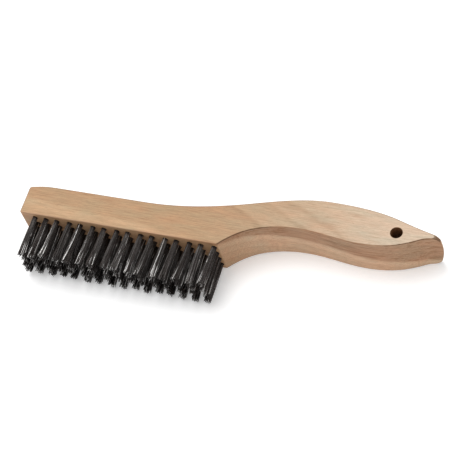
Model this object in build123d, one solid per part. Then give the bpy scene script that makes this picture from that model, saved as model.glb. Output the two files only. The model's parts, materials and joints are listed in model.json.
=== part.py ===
from build123d import *
from math import cos, radians, sin, sqrt
import os

# A wire scratch brush: a one-piece wooden block with a curved shoe handle, and steel wire
# tufts held in blind holes by anchor staples. It lies on its side, as it is put down.
# X runs from the toe of the head to the tip of the handle, Y from the wire tips to the back
# of the block, and Z across the width. The sizes below are measured from the toe along X
# and from the bristle face along Y, and the finished pieces are moved so that the origin
# is at the middle of the footprint. All sizes are in millimetres.

# Block
overall_length = 260.35
block_width = 28.575
head_thickness = 20.64
edge_easing = 0.7
heel_easing = 2.0

# Tuft holes
columns = 16
rows = 4
column_pitch = 7.9375
pair_closing = 0.7  # columns are bored in pairs, this much closer together than the pitch
toe_column_shift = 1.2  # the column at the toe is bored this much nearer to the rest
toe_margin = 8.3
side_margin = 4.7625
heel_wall = 0.9  # wood between the last holes and the end of the bristle face
hole_diameter = 3.6
hole_depth = 12.0

# Toe, rounded over into the back
toe_height = 17.0
toe_nose = 3.4
toe_nose_height = 19.2
toe_run = 19.0

# Heights of the handle's outline above the bristle face
neck_height = 13.1
arch_height = 18.8
belly_height = 15.4
hole_under_height = 17.8
under_tip_height = 24.1
tip_under_height = 26.7
tip_back_height = 28.4
neck_rise = 10.0  # of the back over the neck, above the head
crown_height = 40.35
shoulder_height = 35.2

# Places along the handle, as parts of its length from the end of the bristle face
neck_place = 0.13
neck_back_place = 0.082
arch_place = 0.352
crown_place = 0.459
belly_place = 0.651
hole_place = 0.797
under_tip_place = 0.91
rise_run = 54.0  # the back starts to rise this far before the end of the bristle face

# Slopes of the outline, in degrees from X
toe_slope = 12.0
heel_slope = 48.0
neck_slope = 24.7
hole_under_slope = 15.5
under_tip_slope = 28.5
tip_under_slope = 3.0
neck_back_slope = 15.9
shoulder_slope = -17.0
tip_back_slope = -11.0

# End of the handle, sanded round by hand and fuller towards the upper side
end_radius = 50.0
end_place = 0.6225  # the foremost point of the end, as a part of the width from the lower side
upper_end_rounding = 5.0
lower_end_rounding = 5.5

# Hang hole
hang_hole_diameter = 7.14
hang_hole_easing = 0.3

# Tufts
bristle_trim = 27.0
tuft_clearance = 0.1
tip_gap = 0.75  # between the spread ends of neighbouring tufts

# Anchor staples, bent from flat wire
staple_thickness = 0.6
staple_height = 1.2
leg_thickness = 0.5
leg_clearance = 0.05
leg_bite = 3.0  # how far a leg goes into the wood below the hole
fold_height = 0.5  # wire folded between the staple and the bottom of the hole

hole_radius = hole_diameter / 2
tuft_radius = hole_radius - tuft_clearance
head_length = toe_margin + (columns - 1) * column_pitch + pair_closing / 2 + hole_radius + heel_wall
handle_length = overall_length - head_length
row_pitch = (block_width - 2 * side_margin) / (rows - 1)
tip_radius = (min(row_pitch, column_pitch - pair_closing) - tip_gap) / 2
staple_depth = hole_depth - fold_height - staple_height
centre = Vector(overall_length / 2, (crown_height - bristle_trim) / 2, 0)


def at_handle(place, height):
    """A point of the outline, at a place along the handle."""
    return Vector(head_length + place * handle_length, height, 0)


def heading(slope):
    return Vector(cos(radians(slope)), sin(radians(slope)), 0)


def side_outline():
    """The block seen from the side."""
    toe_nodes = [(0, toe_height), (toe_nose, toe_nose_height), (toe_run, head_thickness)]
    rise = Vector(head_length - rise_run, head_thickness, 0)
    heel = Vector(head_length, 0, 0)
    back_nodes = [
        rise,
        at_handle(neck_back_place, head_thickness + neck_rise),
        at_handle(crown_place, crown_height),
        at_handle(hole_place, shoulder_height),
        Vector(overall_length, tip_back_height, 0),
    ]
    back_slopes = [0, neck_back_slope, 0, shoulder_slope, tip_back_slope]
    under_nodes = [
        heel,
        at_handle(neck_place, neck_height),
        at_handle(arch_place, arch_height),
        at_handle(belly_place, belly_height),
        at_handle(hole_place, hole_under_height),
        at_handle(under_tip_place, under_tip_height),
        Vector(overall_length, tip_under_height, 0),
    ]
    under_slopes = [heel_slope, neck_slope, 0, 0, hole_under_slope, under_tip_slope, tip_under_slope]
    with BuildSketch() as sketch:
        with BuildLine():
            Line((0, 0), (0, toe_height))
            Spline(*toe_nodes, tangents=[heading(90), heading(toe_slope), heading(0)])
            Line((toe_run, head_thickness), rise)
            Spline(*back_nodes, tangents=[heading(slope) for slope in back_slopes])
            Line(back_nodes[-1], under_nodes[-1])
            Spline(*under_nodes, tangents=[heading(slope) for slope in under_slopes])
            Line(heel, (0, 0))
        make_face()
        fillet(sketch.vertices().sort_by_distance(heel)[0], heel_easing)
    return sketch.sketch


def plan_outline():
    """The block seen from its back: straight sides and a rounded end."""
    crest = end_place * block_width
    ends = [overall_length - end_radius + sqrt(end_radius**2 - (z - crest) ** 2) for z in (0, block_width)]
    corners = [(ends[0], 0), (-toe_margin, 0), (-toe_margin, block_width), (ends[1], block_width)]
    with BuildSketch(Plane.XZ) as sketch:
        with BuildLine():
            Polyline(*corners)
            ThreePointArc(corners[-1], (overall_length, crest), corners[0])
        make_face()
        fillet(sketch.vertices().sort_by_distance(corners[0])[0], lower_end_rounding)
        fillet(sketch.vertices().sort_by_distance(corners[-1])[0], upper_end_rounding)
    return sketch.sketch


def column_x(column):
    shift = pair_closing / 2 if column % 2 else -pair_closing / 2
    if column == 0:
        shift += toe_column_shift
    return toe_margin + column * column_pitch + shift


def row_z(row):
    return side_margin + row * row_pitch


def tuft_places(column):
    """Where the axes of one column's tufts cross the bristle face, with local Z along +Y."""
    return [Location((column_x(column), 0, row_z(row)), (-90, 0, 0)) for row in range(rows)]


def staple_shape():
    """One staple in its hole, with its crown along X and its legs pointing into the block."""
    span = 2 * (tuft_radius + leg_clearance + leg_thickness)
    leg_length = fold_height + leg_bite + staple_height
    base = Align.MIN
    crown = Box(span, staple_thickness, staple_height, align=(Align.CENTER, Align.CENTER, base))
    leg = Box(leg_thickness, staple_thickness, leg_length, align=(Align.MAX, Align.CENTER, base))
    legs = [Pos(span / 2, 0, 0) * leg, Rot(0, 0, 180) * (Pos(span / 2, 0, 0) * leg)]
    return Pos(0, 0, staple_depth) * crown.fuse(*legs)


def tuft_shape():
    """One tuft: a straight root in its hole, folded round the staple, and a spreading brush."""
    root = Cylinder(tuft_radius, hole_depth, align=(Align.CENTER, Align.CENTER, Align.MIN))
    brush = Cone(tip_radius, tuft_radius, bristle_trim, align=(Align.CENTER, Align.CENTER, Align.MAX))
    return root.fuse(brush).cut(staple_shape())


def block_shape():
    body = extrude(side_outline(), block_width) & extrude(plan_outline(), -2 * crown_height, both=True)
    across = body.edges().filter_by(Axis.Z)
    toe_edge = across.sort_by_distance((0, 0, block_width / 2))[0]
    body = fillet(body.edges() - across + [toe_edge], edge_easing)
    hole = Cylinder(hole_radius, hole_depth, align=(Align.CENTER, Align.CENTER, Align.MIN))
    cuts = [spot * shape for column in range(columns) for spot in tuft_places(column)
            for shape in (hole, staple_shape())]
    body = body.cut(*cuts)
    hang_hole = Pos(at_handle(hole_place, (shoulder_height + hole_under_height) / 2)) * Cylinder(
        hang_hole_diameter / 2, 2 * block_width
    )
    body = body.cut(hang_hole)
    rims = body.edges().filter_by(GeomType.CIRCLE).group_by(SortBy.RADIUS)[-1]
    return fillet(rims, hang_hole_easing)


def node(name, shapes):
    """Write one node, moved into the brush's own frame."""
    placed = [Pos(-centre) * shape for shape in shapes]
    export_step(placed[0] if len(placed) == 1 else Compound(children=placed), f"parts/{name}.step")


def main():
    os.makedirs("parts", exist_ok=True)
    node("handle_block", [block_shape()])
    for column in range(columns):
        spots = tuft_places(column)
        node(f"tuft_row_{column + 1:02d}", [spot * tuft_shape() for spot in spots])
        node(f"staple_row_{column + 1:02d}", [spot * staple_shape() for spot in spots])


main()
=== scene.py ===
import json
from math import cos, pi, radians, sin

import bmesh
import bpy
from bpy.props import FloatProperty, FloatVectorProperty, IntProperty, PointerProperty
from bpy.types import NodeSocket, Operator, Panel, PropertyGroup
from mathutils import Matrix, Vector


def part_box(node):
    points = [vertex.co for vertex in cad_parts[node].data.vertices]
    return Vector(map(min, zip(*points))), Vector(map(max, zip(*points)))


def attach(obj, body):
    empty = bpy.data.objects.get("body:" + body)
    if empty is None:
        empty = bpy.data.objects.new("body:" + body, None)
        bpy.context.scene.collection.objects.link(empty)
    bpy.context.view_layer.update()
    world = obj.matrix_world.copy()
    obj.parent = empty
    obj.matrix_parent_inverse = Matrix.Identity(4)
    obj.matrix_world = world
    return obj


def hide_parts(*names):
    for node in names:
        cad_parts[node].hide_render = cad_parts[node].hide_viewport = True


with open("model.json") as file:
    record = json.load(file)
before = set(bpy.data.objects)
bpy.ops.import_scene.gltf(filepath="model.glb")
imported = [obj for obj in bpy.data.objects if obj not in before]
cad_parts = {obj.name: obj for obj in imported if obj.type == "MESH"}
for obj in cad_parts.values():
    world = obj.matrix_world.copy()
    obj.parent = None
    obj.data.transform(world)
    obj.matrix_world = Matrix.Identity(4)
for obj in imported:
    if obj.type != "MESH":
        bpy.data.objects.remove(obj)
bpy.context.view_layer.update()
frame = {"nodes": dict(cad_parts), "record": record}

bl_info = {
    "name": "Wire Scratch Brush",
    "version": (1, 0, 0),
    "blender": (4, 5, 0),
    "location": "View3D > Sidebar > Scratch Brush",
    "description": "Dresses a shoe handle scratch brush: bare hardwood, drawn steel wire and a white studio",
    "category": "Object",
}

MM = 0.001
GOLDEN_TURN = 2.399963
FLOOR_GAP = 0.05 * MM  # keeps the floor clear of the face that rests on it

# Places and sizes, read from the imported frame. The brush lies on its side: X runs from
# the toe to the tip of the handle, Y from the wire tips to the back, Z across the width.
BLOCK_LOW, BLOCK_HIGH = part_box("handle_block")
BLOCK_MIDDLE = (BLOCK_LOW + BLOCK_HIGH) / 2
TUFT_ROWS = sorted(name for name in frame["nodes"] if name.startswith("tuft_row"))
STAPLE_ROWS = sorted(name for name in frame["nodes"] if name.startswith("staple_row"))
FIRST_LOW, FIRST_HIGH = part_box(TUFT_ROWS[0])
LAST_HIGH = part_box(TUFT_ROWS[-1])[1]
TUFTS_PER_ROW = 4
TIP_RADIUS = (FIRST_HIGH.x - FIRST_LOW.x) / 2
TUFT_PITCH = (FIRST_HIGH.z - FIRST_LOW.z - 2 * TIP_RADIUS) / (TUFTS_PER_ROW - 1)
FACE_Y = BLOCK_LOW.y
HEAD_END = LAST_HIGH.x
TRIM = FACE_Y - FIRST_LOW.y
HOLE_DEPTH = FIRST_HIGH.y - FACE_Y

# Growth rings of the board, in millimetres
RING_SLOPE = 0.25  # how far the rings lean over, in depth per millimetre up the block
HEAD_SWEEP = 0.06  # how fast the rings climb along the head
HANDLE_SWEEP = 0.44  # how much faster they climb along the handle
SWEEP_START = 118  # where that begins, from the toe
SWEEP_BEND = 30.0  # how gently it begins
RING_WANDER = 3.0  # how far a ring strays from its even course, from side to side
RING_SPAN = 60
# Each stop is a depth in the board, and how bright the wood is there
RINGS = [
    (0, 0.98), (5.5, 0.92), (6.2, 1.01), (11.0, 0.96), (11.8, 0.9), (12.5, 1.02), (17.4, 0.97), (18.2, 0.9),
    (18.9, 1.03), (23.6, 0.98), (24.2, 0.93), (24.9, 1.04), (29.6, 1.05), (30.4, 1.15), (31.2, 0.97),
    (34.5, 0.95), (38.2, 0.91), (38.8, 0.83), (39.4, 1.0), (42.2, 0.95), (42.8, 0.86), (43.4, 1.01),
    (44.7, 0.96), (45.2, 0.85), (46.0, 0.99), (50.0, 1.02), (60.0, 1.0),
]
BURN_BEGINS = 28.5  # depth from which the wood on the under side is burnt by the saw
BURN_FULL = 31.5

# Tints of the wood, multiplied into its colour
WARM_PATCH = (1.06, 0.98, 0.94, 1)
COOL_PATCH = (0.95, 1.01, 1.01, 1)
DARK_STREAK = (0.8, 0.75, 0.7, 1)
PLAIN_WOOD = (1.0, 1.0, 1.0, 1)
PALE_STREAK = (1.13, 1.13, 1.11, 1)
DARK_MOTTLE = (0.84, 0.82, 0.78, 1)
PALE_MOTTLE = (1.14, 1.14, 1.14, 1)
BURNT_STREAK = (0.8, 0.74, 0.66, 1)
OPEN_PORE = (0.5, 0.38, 0.28, 1)
END_GRAIN = (0.72, 0.64, 0.54, 1)
# Painted shade inside the hang hole, over its rough end grain
HOLE_WALL_SHADE = (0.5, 0.42, 0.32, 1)
PORE_STRENGTH = 0.45
CALM_PLANED_FACE = 0.1  # how much weaker the streaks are on the planed sides

# Shape and finish of the tufts
ROOT_FILL = 0.545  # radius of the bundle at the hole, as a part of its radius at the tips
TIP_FILL = 0.88  # radius of the bundle at its tips, as a part of the room that it has
DRIFT_POWER = 1.9  # above 1, the wires spread slowly at first and faster near their tips
SHORT_POWER = 2.0  # above 1, few wires are much too short
TUFT_UNEVEN = (-0.3, 0.7)  # how much shorter a whole tuft may be, in millimetres
POINTS_PER_WIRE = 9
SIDES_PER_WIRE = 6

# Each wire has a tone from 0 to 1. The wires of the highest tones are drawn bright as bare steel with painted
# glints, and some cut ends carry painted glints
PATCH_REACH = 0.12  # how far a patch of wear and sheen may shift the tone
GLINT_AND_BARE_BRIGHT = (0.955, 0.985)
SHEEN_AND_WEAR_GREY = (0.4, 0.95)
GREY_SHARE = 0.12
CUT_END_GLINT_TONES = (0.86, 0.88)
CUT_END_GLINT_SPAN = (0.78, 0.86)  # where the painted glint at the cut end of a wire begins, along the wire

FLOOR_REACH = 6.0
LIGHT_DIRECTION = Vector((0.36, -0.3, -1.0))


# Nodes


def add_node(tree, kind, inputs=(), **settings):
    """One node with its properties set, and its inputs fed with values or other nodes' outputs."""
    made = tree.nodes.new(kind)
    for name, value in settings.items():
        setattr(made, name, value)
    for key, value in dict(inputs).items():
        feed(tree, made.inputs[key], value)
    return made


def feed(tree, socket, value):
    if isinstance(value, NodeSocket):
        tree.links.new(value, socket)
    else:
        socket.default_value = value


def maths(tree, operation, *values, clamp=False):
    inputs = dict(enumerate(values))
    return add_node(tree, "ShaderNodeMath", inputs, operation=operation, use_clamp=clamp).outputs[0]


def vector_maths(tree, operation, *values):
    inputs = dict(enumerate(values))
    return add_node(tree, "ShaderNodeVectorMath", inputs, operation=operation).outputs[0]


def scaled(tree, vector, factor):
    made = add_node(tree, "ShaderNodeVectorMath", {0: vector, "Scale": factor}, operation="SCALE")
    return made.outputs[0]


def joined(tree, x, y, z):
    return add_node(tree, "ShaderNodeCombineXYZ", {0: x, 1: y, 2: z}).outputs[0]


def smooth_step(tree, value, low, high, to_low=0.0, to_high=1.0):
    inputs = {0: value, 1: low, 2: high, 3: to_low, 4: to_high}
    return add_node(tree, "ShaderNodeMapRange", inputs, interpolation_type="SMOOTHSTEP").outputs[0]


def noise(tree, vector, scale, detail=2.0, roughness=0.5):
    inputs = {"Vector": vector, "Scale": scale, "Detail": detail, "Roughness": roughness}
    return add_node(tree, "ShaderNodeTexNoise", inputs).outputs["Fac"]


def blend(tree, factor, low, high, blend_type="MIX"):
    """Two colours mixed, or laid over each other in another way."""
    inputs = {"Factor": factor, "A": low, "B": high}
    made = tree.nodes.new("ShaderNodeMix")
    made.data_type = "RGBA"
    made.blend_type = blend_type
    for socket in made.inputs:
        if socket.name in inputs and socket.enabled:
            feed(tree, socket, inputs[socket.name])
    return next(socket for socket in made.outputs if socket.enabled)


def tinted(tree, factor, colour, tint):
    """A colour multiplied by a tint, as much as the factor says."""
    return blend(tree, factor, colour, tint, "MULTIPLY")


def ramp(tree, value, stops):
    made = add_node(tree, "ShaderNodeValToRGB", {"Fac": value})
    elements = made.color_ramp.elements
    while len(elements) < len(stops):
        elements.new(0.5)
    for element, (place, colour) in zip(elements, stops):
        element.position = place
        element.color = colour
    return made.outputs["Color"]


def opaque(colour):
    return (colour[0], colour[1], colour[2], 1.0)


def new_material(name):
    """An empty material, with its tree and its shader joined to the output."""
    material = bpy.data.materials.new(name)
    material.use_nodes = True
    tree = material.node_tree
    tree.nodes.clear()
    shader = tree.nodes.new("ShaderNodeBsdfPrincipled")
    output = tree.nodes.new("ShaderNodeOutputMaterial")
    tree.links.new(shader.outputs["BSDF"], output.inputs["Surface"])
    return material, tree, shader


def raise_surface(tree, shader, height, distance, strength):
    """A fine relief, from a height between 0 and 1."""
    inputs = {"Height": height, "Distance": distance, "Strength": strength}
    bump = add_node(tree, "ShaderNodeBump", inputs)
    feed(tree, shader.inputs["Normal"], bump.outputs[0])


# Settings


def colour_property(name, description, default):
    return FloatVectorProperty(
        name=name, description=description, subtype="COLOR", size=3, min=0.0, max=1.0, default=default
    )


def length_property(name, description, default):
    return FloatProperty(name=name, description=description, unit="LENGTH", min=0.0, default=default)


def angle_property(name, description, degrees):
    return FloatProperty(name=name, description=description, subtype="ANGLE", default=radians(degrees))


class BlockSettings(PropertyGroup):
    """The bare hardwood of the block."""

    head_wood: colour_property("Head Wood", "Planed side of the head", (0.455, 0.292, 0.168))
    # Paler than the head wood: a painted sheen of the soft light on the planed side towards the tip, over the
    # wood's own colour
    tip_wood_with_sheen: colour_property("Handle Wood", "Planed side at the tip of the handle", (0.58, 0.452, 0.342))
    shaped_wood: colour_property("Shaped Wood", "Sawn and sanded curved faces", (0.50, 0.33, 0.215))
    # Painted shade: a darker line along the eased edges of the back and of both ends
    edge_shade_tint: colour_property("Edge Shade", "Tint of the handled back edges", (0.42, 0.38, 0.34))
    saw_burn: colour_property("Saw Burn", "Tint of the denser wood where it was sawn", (0.74, 0.66, 0.6))
    # Darkens the face that the tufts stand in
    bristle_face_tint: colour_property("Face Tint", "Tint of the bristle face, oiled by the wire", (0.8, 0.72, 0.62))
    fibre_length: length_property("Fibre Length", "Length of one visible bundle of fibres", 14 * MM)
    fibre_width: length_property("Fibre Width", "Width of one visible bundle of fibres", 0.55 * MM)
    bump_height: length_property("Bump Height", "Depth of the raised grain", 0.05 * MM)


class WireSettings(PropertyGroup):
    """The drawn steel wire of the tufts."""

    wire_diameter: length_property("Wire Diameter", "Thickness of one wire", 0.33 * MM)
    ends_per_tuft: IntProperty(name="Ends per Tuft", description="Wire ends in one tuft", min=6, default=60)
    uneven_trim: length_property("Uneven Trim", "How much shorter the shortest ends are", 2.6 * MM)
    lean: length_property("Lean", "How far the tips of a whole tuft may lean over", 0.8 * MM)
    bow: length_property("Bow", "How far one wire may bend out of line", 0.35 * MM)
    dark_steel: colour_property("Oiled Steel", "Dark, oil-tempered wire", (0.046, 0.038, 0.035))
    # Bright wires: bare steel, brightened further as painted glints
    bright_steel_and_glint: colour_property("Bright Steel", "Wire with its dark skin worn off", (0.8, 0.78, 0.76))
    seed: IntProperty(name="Seed", description="Seed of every random choice in the tufts", default=23)


class StapleSettings(PropertyGroup):
    """The flat wire staples that anchor the tufts in the wood."""

    steel: colour_property("Staple Steel", "Bare flattened wire", (0.36, 0.35, 0.33))
    tarnish: colour_property("Tarnish", "Dull patches on the bare wire", (0.16, 0.14, 0.12))


class StageSettings(PropertyGroup):
    """White studio and camera."""

    floor_colour: colour_property("Floor", "Colour of the ground and background", (0.95, 0.95, 0.95))
    floor_glow: FloatProperty(name="Floor Glow", description="Light of the white table itself", default=0.2)
    sky_strength: FloatProperty(name="Sky", description="Strength of the even white light", default=0.78)
    key_strength: FloatProperty(name="Key", description="Strength of the soft light from above", default=1.45)
    key_angle: angle_property("Key Softness", "How wide the soft light is", 42)
    camera_azimuth: angle_property("Azimuth", "Turn of the camera round the brush", 36.83)
    camera_elevation: angle_property("Elevation", "Height of the camera's view", 55.31)
    camera_roll: angle_property("Roll", "Turn of the camera about its own axis", 22.47)
    camera_distance: length_property("Distance", "From the camera to what it aims at", 1204.8 * MM)
    camera_lens: FloatProperty(
        name="Lens", description="Focal length", subtype="DISTANCE_CAMERA", default=160.0
    )
    camera_aim: FloatVectorProperty(
        name="Aim", description="What the camera aims at, from the middle of the block", unit="LENGTH",
        default=(-4.86 * MM, 1.24 * MM, 0.0),
    )


# Handle block


def wood_material(settings):
    """Bare, sanded beech: soft growth rings, fibres along the board and small pores."""
    material, tree, shader = new_material("block_wood")
    coordinates = tree.nodes.new("ShaderNodeTexCoord")
    place = scaled(tree, coordinates.outputs["Object"], 1 / MM)
    axes = add_node(tree, "ShaderNodeSeparateXYZ", {0: place}).outputs
    facing = add_node(tree, "ShaderNodeSeparateXYZ", {0: coordinates.outputs["Normal"]}).outputs
    flat = smooth_step(tree, maths(tree, "ABSOLUTE", facing["Z"]), 0.85, 0.99)
    depth = ring_depth(tree, place, axes)
    fibre, fine_fibre, pores = fibres(tree, settings, place)

    wood = sawn_wood(tree, settings, place, axes, flat)
    wood = tinted(tree, 1.0, wood, ring_tint(tree, depth))
    wood = burnt_under_side(tree, settings, wood, place, facing, depth)
    wood = grained(tree, wood, flat, fibre, fine_fibre, pores)
    # Painted shade along the eased edges
    wood = tinted(tree, painted_edge_shade_mask(tree, facing), wood, opaque(settings.edge_shade_tint))
    wood = tinted(tree, end_grain(tree, facing["X"]), wood, END_GRAIN)
    # Painted shade in the hang hole
    wood = tinted(tree, shaded_hole_wall(tree, place), wood, HOLE_WALL_SHADE)
    # The face that the tufts stand in, made darker
    wood = tinted(tree, darker_bristle_face(tree, axes, facing), wood, opaque(settings.bristle_face_tint))
    feed(tree, shader.inputs["Base Color"], wood)

    height = maths(tree, "ADD", maths(tree, "MULTIPLY", fibre, 0.5), maths(tree, "MULTIPLY", fine_fibre, 0.5))
    height = maths(tree, "SUBTRACT", height, maths(tree, "MULTIPLY", pores, 0.8))
    raise_surface(tree, shader, height, settings.bump_height, 0.7)
    feed(tree, shader.inputs["Roughness"], smooth_step(tree, fine_fibre, 0.3, 0.7, 0.52, 0.68))
    shader.inputs["Specular IOR Level"].default_value = 0.32
    return material


def sawn_wood(tree, settings, place, axes, flat):
    """The plain colour of the planed sides and of the curved faces, in warm and cool patches. The planed side
    grows paler and greyer towards the tip of the handle: a painted sheen of the soft light over the wood's
    own colour.
    """
    # Painted sheen: the planed side turns paler towards the tip of the handle
    along = smooth_step(tree, axes["X"], HEAD_END / MM - 30, BLOCK_HIGH.x / MM)
    planed = blend(tree, along, opaque(settings.head_wood), opaque(settings.tip_wood_with_sheen))
    wood = blend(tree, flat, opaque(settings.shaped_wood), planed)
    patches = noise(tree, vector_maths(tree, "MULTIPLY", place, (0.05, 0.16, 0.16)), 1.0, detail=2.0)
    return tinted(tree, 1.0, wood, ramp(tree, patches, [(0.3, WARM_PATCH), (0.7, COOL_PATCH)]))


def burnt_under_side(tree, settings, wood, place, facing, depth):
    """The denser wood under the handle, darkened by the saw, with darker streaks in it."""
    downward = smooth_step(tree, facing["Y"], -0.2, -0.6)
    under = maths(tree, "MULTIPLY", downward, smooth_step(tree, depth, BURN_BEGINS, BURN_FULL))
    wood = tinted(tree, under, wood, opaque(settings.saw_burn))
    burnt = noise(tree, vector_maths(tree, "MULTIPLY", place, (0.025, 0.5, 0.5)), 1.0, detail=3.0)
    burnt = maths(tree, "MULTIPLY", smooth_step(tree, burnt, 0.5, 0.62), under)
    return tinted(tree, burnt, wood, BURNT_STREAK)


def grained(tree, wood, flat, fibre, fine_fibre, pores):
    """Streaks of fibre, a fine mottle and open pores laid over the wood."""
    streak = ramp(tree, fibre, [(0.3, DARK_STREAK), (0.5, PLAIN_WOOD), (0.7, PALE_STREAK)])
    streaky = maths(tree, "SUBTRACT", 1.0, maths(tree, "MULTIPLY", flat, CALM_PLANED_FACE))
    wood = tinted(tree, streaky, wood, streak)
    wood = tinted(tree, 1.0, wood, ramp(tree, fine_fibre, [(0.3, DARK_MOTTLE), (0.7, PALE_MOTTLE)]))
    return tinted(tree, maths(tree, "MULTIPLY", pores, PORE_STRENGTH), wood, OPEN_PORE)


def ring_depth(tree, place, axes):
    """How deep the wood lay in the board, whose rings sweep up across the handle."""
    along = maths(tree, "SUBTRACT", axes["X"], BLOCK_LOW.x / MM)
    up = maths(tree, "SUBTRACT", axes["Y"], FACE_Y / MM)
    swept = maths(tree, "SMOOTH_MAX", maths(tree, "SUBTRACT", along, SWEEP_START), 0.0, SWEEP_BEND)
    head_sweep = maths(tree, "MULTIPLY", along, HEAD_SWEEP)
    sweep = maths(tree, "ADD", head_sweep, maths(tree, "MULTIPLY", swept, HANDLE_SWEEP))
    slope = maths(tree, "MULTIPLY", maths(tree, "ADD", up, sweep), RING_SLOPE)
    wander = noise(tree, vector_maths(tree, "MULTIPLY", place, (0.02, 0.07, 0.07)), 1.0, detail=3.0)
    wander = maths(tree, "MULTIPLY", maths(tree, "SUBTRACT", wander, 0.5), RING_WANDER)
    return maths(tree, "ADD", axes["Z"], maths(tree, "ADD", slope, wander))


def ring_tint(tree, depth):
    """Each growth ring darkens and reddens until a thin line of late wood ends it."""
    stops = [(place / RING_SPAN, (dark, dark**1.3, dark**1.6, 1)) for place, dark in RINGS]
    return ramp(tree, maths(tree, "DIVIDE", depth, RING_SPAN), stops)


def fibres(tree, settings, place):
    """Bundles of fibres and short pores, drawn out along the length of the board."""
    long = 1 / (settings.fibre_length / MM)
    wide = 1 / (settings.fibre_width / MM)
    fibre = noise(tree, vector_maths(tree, "MULTIPLY", place, (long, wide, wide)), 1.0, detail=3.0)
    fine = noise(tree, vector_maths(tree, "MULTIPLY", place, (4 * long, 5 * wide, 5 * wide)), 1.0, detail=2.0)
    short = vector_maths(tree, "MULTIPLY", place, (0.45, 3.6, 3.6))
    pores = smooth_step(tree, noise(tree, short, 1.0, detail=1.0), 0.66, 0.74)
    return fibre, fine, pores


def painted_edge_shade_mask(tree, facing):
    """The eased edges of the back and of both ends, which slope between two faces, darkened by painted shade.
    """
    tilt = maths(tree, "ABSOLUTE", facing["Z"])
    eased = maths(tree, "MULTIPLY", smooth_step(tree, tilt, 0.1, 0.4), smooth_step(tree, tilt, 0.998, 0.95))
    backward = maths(tree, "MAXIMUM", facing["Y"], maths(tree, "ABSOLUTE", facing["X"]))
    return maths(tree, "MULTIPLY", eased, smooth_step(tree, backward, 0.05, 0.3), clamp=True)


def shaded_hole_wall(tree, place):
    """The wall of the hang hole, darkened: painted shade deep in the hole, over the rough end grain that the
    drill leaves.
    """
    hole = next(mount for mount in frame["record"]["mounts"] if mount["name"] == "hang_hole")
    centre = Vector(hole["pos_m"]) / MM
    off = vector_maths(tree, "SUBTRACT", place, (centre.x, centre.y, 0.0))
    across = vector_maths(tree, "MULTIPLY", off, (1.0, 1.0, 0.0))
    length = add_node(tree, "ShaderNodeVectorMath", {0: across}, operation="LENGTH").outputs["Value"]
    radius = hole["dims"]["r_mm"]
    return smooth_step(tree, length, radius + 0.35, radius + 0.1)


def end_grain(tree, facing_along):
    return smooth_step(tree, maths(tree, "ABSOLUTE", facing_along), 0.3, 1.0)


def darker_bristle_face(tree, axes, facing):
    """The face that the tufts stand in, and the walls of their holes."""
    near = smooth_step(tree, axes["Y"], FACE_Y / MM + 1.5, FACE_Y / MM)
    down = smooth_step(tree, facing["Y"], -0.7, -0.98)
    return maths(tree, "MULTIPLY", near, down)


def welded_copy(source, name):
    """A CAD node's mesh with its loose triangles joined, and its flat faces weighing most in its shading."""
    shape = bmesh.new()
    shape.from_mesh(source.data)
    bmesh.ops.remove_doubles(shape, verts=shape.verts, dist=0.002 * MM)
    mesh = bpy.data.meshes.new(name)
    shape.to_mesh(mesh)
    shape.free()
    for attribute in [a for a in mesh.attributes if a.name == "custom_normal"]:
        mesh.attributes.remove(attribute)
    mesh.shade_smooth()
    mesh.set_sharp_from_angle(angle=radians(38))
    piece = bpy.data.objects.new(name, mesh)
    bpy.context.scene.collection.objects.link(piece)
    weigh = piece.modifiers.new("Weighted Normal", "WEIGHTED_NORMAL")
    weigh.keep_sharp = True
    settle(piece)
    return piece


def settle(piece):
    """Turns a piece and its modifiers into one plain mesh."""
    evaluated = piece.evaluated_get(bpy.context.evaluated_depsgraph_get())
    mesh = bpy.data.meshes.new_from_object(evaluated)
    piece.modifiers.clear()
    piece.data = mesh
    mesh.name = piece.name


class SCRATCHBRUSH_OT_block(Operator):
    """Build the wooden block with its handle"""

    bl_idname = "scratch_brush.block"
    bl_label = "Handle Block"

    def execute(self, context):
        settings = context.scene.scratch_brush_block
        piece = welded_copy(frame["nodes"]["handle_block"], "shoe_handle_block")
        piece.data.materials.clear()
        piece.data.materials.append(wood_material(settings))
        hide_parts("handle_block")
        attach(piece, "root")
        return {"FINISHED"}


# Wire tufts


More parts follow.
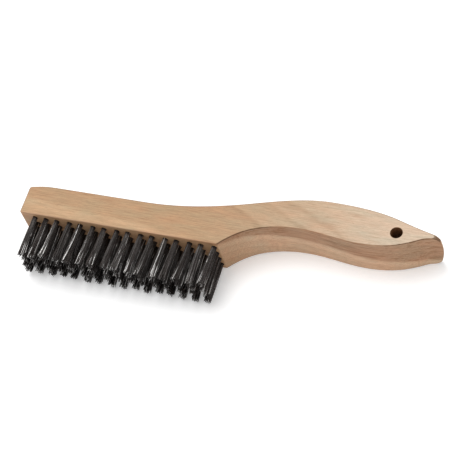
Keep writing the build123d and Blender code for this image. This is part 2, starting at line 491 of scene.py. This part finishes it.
def wire_material(settings):
    """Drawn, oil-tempered wire: nearly black, with a few wires drawn bright as bare steel and painted glints,
    and painted glints at some cut ends.
    """
    material, tree, shader = new_material("tuft_wire")
    tone = add_node(tree, "ShaderNodeAttribute", attribute_name="tone").outputs["Fac"]
    coordinates = tree.nodes.new("ShaderNodeTexCoord")
    place = scaled(tree, coordinates.outputs["Object"], 1 / MM)
    drawn = noise(tree, vector_maths(tree, "MULTIPLY", place, (9, 0.5, 9)), 1.0, detail=2.0)
    patch = noise(tree, vector_maths(tree, "MULTIPLY", place, (0.8, 0.25, 0.8)), 1.0, detail=2.0)
    patch = maths(tree, "MULTIPLY", maths(tree, "SUBTRACT", patch, 0.5), PATCH_REACH)
    # Painted glints: wires of the highest tones and some cut ends take the bright steel colour, partly as
    # bare steel
    worn_and_glinting = maths(tree, "ADD", tone, patch)
    bright = smooth_step(tree, worn_and_glinting, *GLINT_AND_BARE_BRIGHT)
    grey = smooth_step(tree, worn_and_glinting, *SHEEN_AND_WEAR_GREY, 0.0, GREY_SHARE)
    cut_end_glint = add_node(tree, "ShaderNodeAttribute", attribute_name="cut_end_glint").outputs["Fac"]
    cut_end_glint = maths(tree, "MULTIPLY", cut_end_glint, smooth_step(tree, tone, *CUT_END_GLINT_TONES))
    bare = maths(tree, "MAXIMUM", maths(tree, "MAXIMUM", bright, grey), cut_end_glint)
    steel = blend(tree, bare, opaque(settings.dark_steel), opaque(settings.bright_steel_and_glint))
    feed(tree, shader.inputs["Base Color"], steel)
    feed(tree, shader.inputs["Roughness"], smooth_step(tree, drawn, 0.3, 0.7, 0.22, 0.4))
    shader.inputs["Metallic"].default_value = 0.85
    raise_surface(tree, shader, drawn, 0.01 * MM, 0.5)
    return material


def tuft_inputs(settings, material, row, count):
    """Every size that one row of tufts is made from, by the name of its socket."""
    low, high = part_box(row)
    axis = Vector(((low.x + high.x) / 2, high.y, low.z + TIP_RADIUS))
    return {
        "Tufts": ("Int", TUFTS_PER_ROW),
        "Ends per Tuft": ("Int", settings.ends_per_tuft),
        "First Root": ("Vector", axis),
        "Pitch": ("Float", TUFT_PITCH),
        "Root Depth": ("Float", HOLE_DEPTH),
        "Trim": ("Float", TRIM),
        "Root Radius": ("Float", TIP_RADIUS * ROOT_FILL),
        "Tip Radius": ("Float", TIP_RADIUS * TIP_FILL),
        "Wire Radius": ("Float", settings.wire_diameter / 2),
        "Uneven Trim": ("Float", settings.uneven_trim),
        "Lean": ("Float", settings.lean),
        "Bow": ("Float", settings.bow),
        "Seed": ("Int", settings.seed + 17 * count),
        "Material": ("Material", material),
    }


def random_number(tree, low, high, identity, seed):
    inputs = {"Min": low, "Max": high, "ID": identity, "Seed": seed}
    return random_value(tree, "FLOAT", inputs)


def random_vector(tree, reach, identity, seed):
    """A random vector square to the wire."""
    inputs = {"Min": (-1.0, 0.0, -1.0), "Max": (1.0, 0.0, 1.0), "ID": identity, "Seed": seed}
    return scaled(tree, random_value(tree, "FLOAT_VECTOR", inputs), reach)


def random_value(tree, data_type, inputs):
    made = tree.nodes.new("FunctionNodeRandomValue")
    made.data_type = data_type
    for socket in made.inputs:
        if socket.name in inputs and socket.enabled:
            feed(tree, socket, inputs[socket.name])
    return next(socket for socket in made.outputs if socket.enabled)


def keep_value(tree, geometry, name, data_type, value):
    """Stores a value on each wire's point, to be read again along the wire."""
    inputs = {"Geometry": geometry, "Name": name}
    made = add_node(tree, "GeometryNodeStoreNamedAttribute", inputs, data_type=data_type, domain="POINT")
    feed(tree, next(s for s in made.inputs if s.name == "Value" and s.enabled), value)
    return made.outputs["Geometry"]


def kept_value(tree, name, data_type):
    """Reads a stored value again."""
    made = add_node(tree, "GeometryNodeInputNamedAttribute", {"Name": name}, data_type=data_type)
    return next(s for s in made.outputs if s.name == "Attribute" and s.enabled)


def tuft_tree(inputs):
    """One row of tufts: wires packed in each hole like seeds in a sunflower, spreading as they leave it."""
    tree = bpy.data.node_groups.new("wire_tufts", "GeometryNodeTree")
    identifiers = {}
    for name, (kind, _) in inputs.items():
        item = tree.interface.new_socket(name, in_out="INPUT", socket_type=f"NodeSocket{kind}")
        identifiers[name] = item.identifier
    tree.interface.new_socket("Geometry", in_out="OUTPUT", socket_type="NodeSocketGeometry")
    size = tree.nodes.new("NodeGroupInput").outputs

    index = tree.nodes.new("GeometryNodeInputIndex").outputs[0]
    tuft = maths(tree, "FLOOR", maths(tree, "DIVIDE", index, size["Ends per Tuft"]))
    number = maths(tree, "SUBTRACT", index, maths(tree, "MULTIPLY", tuft, size["Ends per Tuft"]))
    share = maths(tree, "DIVIDE", maths(tree, "ADD", number, 0.5), size["Ends per Tuft"])
    turn = maths(tree, "ADD", maths(tree, "MULTIPLY", number, GOLDEN_TURN), tuft)
    ring = maths(tree, "SQRT", share)
    spoke_x = maths(tree, "MULTIPLY", ring, maths(tree, "COSINE", turn))
    spoke_z = maths(tree, "MULTIPLY", ring, maths(tree, "SINE", turn))
    spoke = joined(tree, spoke_x, 0.0, spoke_z)
    axis = joined(tree, 0.0, 0.0, maths(tree, "MULTIPLY", tuft, size["Pitch"]))
    axis = vector_maths(tree, "ADD", axis, size["First Root"])
    root = vector_maths(tree, "ADD", axis, scaled(tree, spoke, size["Root Radius"]))

    seed = size["Seed"]
    own_lean = random_vector(tree, size["Lean"], tuft, seed)
    own_tip = random_vector(tree, size["Bow"], index, maths(tree, "ADD", seed, 1))
    spread = maths(tree, "SUBTRACT", size["Tip Radius"], size["Root Radius"])
    own_drift = vector_maths(tree, "ADD", own_lean, own_tip)
    drift = vector_maths(tree, "ADD", scaled(tree, spoke, spread), own_drift)
    bow = random_vector(tree, size["Bow"], index, maths(tree, "ADD", seed, 2))
    short = random_number(tree, 0.0, 1.0, index, maths(tree, "ADD", seed, 3))
    short = maths(tree, "POWER", short, SHORT_POWER)
    short = maths(tree, "MULTIPLY", short, size["Uneven Trim"])
    tuft_short = random_number(tree, *TUFT_UNEVEN, tuft, maths(tree, "ADD", seed, 4))
    short = maths(tree, "ADD", short, maths(tree, "MULTIPLY", tuft_short, MM))
    reach = maths(tree, "SUBTRACT", size["Trim"], short)
    tone = random_number(tree, 0.0, 1.0, index, maths(tree, "ADD", seed, 5))

    count = maths(tree, "MULTIPLY", size["Tufts"], size["Ends per Tuft"])
    points = add_node(tree, "GeometryNodePoints", {"Count": count}).outputs[0]
    for name, data_type, value in [
        ("root", "FLOAT_VECTOR", root),
        ("drift", "FLOAT_VECTOR", drift),
        ("bow", "FLOAT_VECTOR", bow),
        ("reach", "FLOAT", reach),
        ("tone", "FLOAT", tone),
    ]:
        points = keep_value(tree, points, name, data_type, value)

    ends = {"Start": (0, 0, 0), "End": (0, -1, 0)}
    line = add_node(tree, "GeometryNodeCurvePrimitiveLine", ends).outputs[0]
    line = add_node(tree, "GeometryNodeResampleCurve", {"Curve": line, "Count": POINTS_PER_WIRE}).outputs[0]
    wires = add_node(tree, "GeometryNodeInstanceOnPoints", {"Points": points, "Instance": line}).outputs[0]
    wires = add_node(tree, "GeometryNodeRealizeInstances", {"Geometry": wires}).outputs[0]
    along = tree.nodes.new("GeometryNodeSplineParameter").outputs["Factor"]
    # Marks the end of each wire for the painted glint at its cut end
    wires = keep_value(tree, wires, "cut_end_glint", "FLOAT", smooth_step(tree, along, *CUT_END_GLINT_SPAN))
    paths = {"Geometry": wires, "Position": wire_path(tree, size)}
    wires = add_node(tree, "GeometryNodeSetPosition", paths).outputs[0]
    round_section = {"Resolution": SIDES_PER_WIRE, "Radius": size["Wire Radius"]}
    section = add_node(tree, "GeometryNodeCurvePrimitiveCircle", round_section).outputs[0]
    swept = {"Curve": wires, "Profile Curve": section, "Fill Caps": True}
    tubes = add_node(tree, "GeometryNodeCurveToMesh", swept).outputs[0]
    tubes = add_node(tree, "GeometryNodeSetShadeSmooth", {"Geometry": tubes}).outputs[0]
    tubes = add_node(tree, "GeometryNodeRealizeInstances", {"Geometry": tubes}).outputs[0]
    dressed = {"Geometry": tubes, "Material": size["Material"]}
    tubes = add_node(tree, "GeometryNodeSetMaterial", dressed).outputs[0]
    add_node(tree, "NodeGroupOutput", {"Geometry": tubes})
    return tree, identifiers


def wire_path(tree, size):
    """Where a point of a wire is: straight in its hole, then drifting outwards with a slight bow."""
    along = tree.nodes.new("GeometryNodeSplineParameter").outputs["Factor"]
    whole = maths(tree, "ADD", size["Root Depth"], kept_value(tree, "reach", "FLOAT"))
    run = maths(tree, "MULTIPLY", along, whole)
    free = maths(tree, "SUBTRACT", run, size["Root Depth"])
    free = maths(tree, "DIVIDE", free, kept_value(tree, "reach", "FLOAT"))
    free = maths(tree, "MAXIMUM", free, 0.0)
    drift = scaled(tree, kept_value(tree, "drift", "FLOAT_VECTOR"), maths(tree, "POWER", free, DRIFT_POWER))
    bend = maths(tree, "SINE", maths(tree, "MULTIPLY", free, pi))
    bow = scaled(tree, kept_value(tree, "bow", "FLOAT_VECTOR"), bend)
    place = vector_maths(tree, "ADD", kept_value(tree, "root", "FLOAT_VECTOR"), drift)
    place = vector_maths(tree, "ADD", place, bow)
    axes = add_node(tree, "ShaderNodeSeparateXYZ", {0: place}).outputs
    lowest = maths(tree, "ADD", size["Wire Radius"], 0.1 * MM)
    return joined(
        tree,
        axes["X"],
        maths(tree, "SUBTRACT", axes["Y"], run),
        maths(tree, "MAXIMUM", axes["Z"], lowest),
    )


class SCRATCHBRUSH_OT_tufts(Operator):
    """Build the rows of wire tufts"""

    bl_idname = "scratch_brush.tufts"
    bl_label = "Wire Tufts"

    def execute(self, context):
        settings = context.scene.scratch_brush_wire
        material = wire_material(settings)
        tree, identifiers = tuft_tree(tuft_inputs(settings, material, TUFT_ROWS[0], 0))
        for count, row in enumerate(TUFT_ROWS):
            name = row.replace("tuft_row", "wire_tufts")
            piece = bpy.data.objects.new(name, bpy.data.meshes.new(name))
            context.scene.collection.objects.link(piece)
            modifier = piece.modifiers.new("Wire Tufts", "NODES")
            modifier.node_group = tree
            for socket, (_, value) in tuft_inputs(settings, material, row, count).items():
                modifier[identifiers[socket]] = value
            settle(piece)
            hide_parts(row)
            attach(piece, "root")
        return {"FINISHED"}


# Anchor staples


def staple_material(settings):
    """Flattened steel wire, dull in patches."""
    material, tree, shader = new_material("staple_steel")
    coordinates = tree.nodes.new("ShaderNodeTexCoord")
    place = scaled(tree, coordinates.outputs["Object"], 1 / MM)
    patch = noise(tree, place, 0.9, detail=3.0)
    rolled = noise(tree, vector_maths(tree, "MULTIPLY", place, (1.5, 8, 8)), 1.0)
    dull = smooth_step(tree, patch, 0.45, 0.65)
    steel = blend(tree, dull, opaque(settings.steel), opaque(settings.tarnish))
    feed(tree, shader.inputs["Base Color"], steel)
    feed(tree, shader.inputs["Roughness"], smooth_step(tree, rolled, 0.3, 0.7, 0.3, 0.5))
    shader.inputs["Metallic"].default_value = 1.0
    raise_surface(tree, shader, rolled, 0.01 * MM, 0.4)
    return material


class SCRATCHBRUSH_OT_staples(Operator):
    """Give the anchor staples their steel"""

    bl_idname = "scratch_brush.staples"
    bl_label = "Anchor Staples"

    def execute(self, context):
        material = staple_material(context.scene.scratch_brush_staple)
        for row in STAPLE_ROWS:
            frame["nodes"][row].material_slots[0].material = material
        return {"FINISHED"}


# Stage


def floor_material(settings):
    material, tree, shader = new_material("studio_floor")
    shader.inputs["Base Color"].default_value = opaque(settings.floor_colour)
    shader.inputs["Roughness"].default_value = 0.9
    shader.inputs["Specular IOR Level"].default_value = 0.0
    shader.inputs["Emission Color"].default_value = (1.0, 1.0, 1.0, 1.0)
    shader.inputs["Emission Strength"].default_value = settings.floor_glow
    return material


def add_floor(context, settings):
    mesh = bpy.data.meshes.new("studio_floor")
    signs = [(-1, -1), (1, -1), (1, 1), (-1, 1)]
    corners = [(x * FLOOR_REACH, y * FLOOR_REACH, -FLOOR_GAP) for x, y in signs]
    mesh.from_pydata(corners, [], [(0, 1, 2, 3)])
    mesh.materials.append(floor_material(settings))
    floor = bpy.data.objects.new("studio_floor", mesh)
    context.scene.collection.objects.link(floor)


def add_lights(context, settings):
    world = bpy.data.worlds.new("studio_sky")
    world.use_nodes = True
    world.node_tree.nodes["Background"].inputs["Color"].default_value = (1.0, 1.0, 1.0, 1.0)
    world.node_tree.nodes["Background"].inputs["Strength"].default_value = settings.sky_strength
    context.scene.world = world
    light = bpy.data.lights.new("overhead_soft_light", "SUN")
    light.energy = settings.key_strength
    light.angle = settings.key_angle
    lamp = bpy.data.objects.new("overhead_soft_light", light)
    lamp.rotation_euler = LIGHT_DIRECTION.to_track_quat("-Z", "Y").to_euler()
    context.scene.collection.objects.link(lamp)


def add_camera(context, settings):
    """A long lens over the tip of the handle, rolled so that the brush lies across the picture."""
    turn, height, roll = settings.camera_azimuth, settings.camera_elevation, settings.camera_roll
    back = Vector((sin(turn) * cos(height), -cos(turn) * cos(height), sin(height)))
    level_right = Vector((cos(turn), sin(turn), 0))
    level_up = back.cross(level_right)
    right = cos(roll) * level_right - sin(roll) * level_up
    up = cos(roll) * level_up + sin(roll) * level_right
    aim = BLOCK_MIDDLE + Vector(settings.camera_aim)
    lens = bpy.data.cameras.new("studio_camera")
    lens.sensor_width = 36.0
    lens.lens = settings.camera_lens
    camera = bpy.data.objects.new("studio_camera", lens)
    turned = Matrix((right, up, back)).transposed().to_4x4()
    camera.matrix_world = Matrix.Translation(aim + back * settings.camera_distance) @ turned
    context.scene.collection.objects.link(camera)
    context.scene.camera = camera


class SCRATCHBRUSH_OT_stage(Operator):
    """Set up the white floor, the lights and the camera"""

    bl_idname = "scratch_brush.stage"
    bl_label = "Studio"

    def execute(self, context):
        settings = context.scene.scratch_brush_stage
        add_floor(context, settings)
        add_lights(context, settings)
        add_camera(context, settings)
        context.scene.view_settings.view_transform = "Standard"
        return {"FINISHED"}


class SCRATCHBRUSH_PT_sidebar(Panel):
    """Lists the pieces of the brush"""

    bl_idname = "SCRATCHBRUSH_PT_sidebar"
    bl_label = "Scratch Brush"
    bl_space_type = "VIEW_3D"
    bl_region_type = "UI"
    bl_category = "Scratch Brush"

    def draw(self, context):
        for operator, group in STEPS:
            box = self.layout.box()
            box.operator(operator.bl_idname)
            settings = getattr(context.scene, group)
            for name in settings.__annotations__:
                box.prop(settings, name)


GROUPS = {
    "scratch_brush_block": BlockSettings,
    "scratch_brush_wire": WireSettings,
    "scratch_brush_staple": StapleSettings,
    "scratch_brush_stage": StageSettings,
}
STEPS = [
    (SCRATCHBRUSH_OT_stage, "scratch_brush_stage"),
    (SCRATCHBRUSH_OT_block, "scratch_brush_block"),
    (SCRATCHBRUSH_OT_tufts, "scratch_brush_wire"),
    (SCRATCHBRUSH_OT_staples, "scratch_brush_staple"),
]


def register():
    for name, group in GROUPS.items():
        bpy.utils.register_class(group)
        setattr(bpy.types.Scene, name, PointerProperty(type=group))
    for operator, _ in STEPS:
        bpy.utils.register_class(operator)
    bpy.utils.register_class(SCRATCHBRUSH_PT_sidebar)


def unregister():
    bpy.utils.unregister_class(SCRATCHBRUSH_PT_sidebar)
    for operator, _ in reversed(STEPS):
        bpy.utils.unregister_class(operator)
    for name, group in reversed(GROUPS.items()):
        delattr(bpy.types.Scene, name)
        bpy.utils.unregister_class(group)


def main():
    register()
    bpy.ops.scratch_brush.stage()
    bpy.ops.scratch_brush.block()
    bpy.ops.scratch_brush.tufts()
    bpy.ops.scratch_brush.staples()


if __name__ == "__main__":
    main()
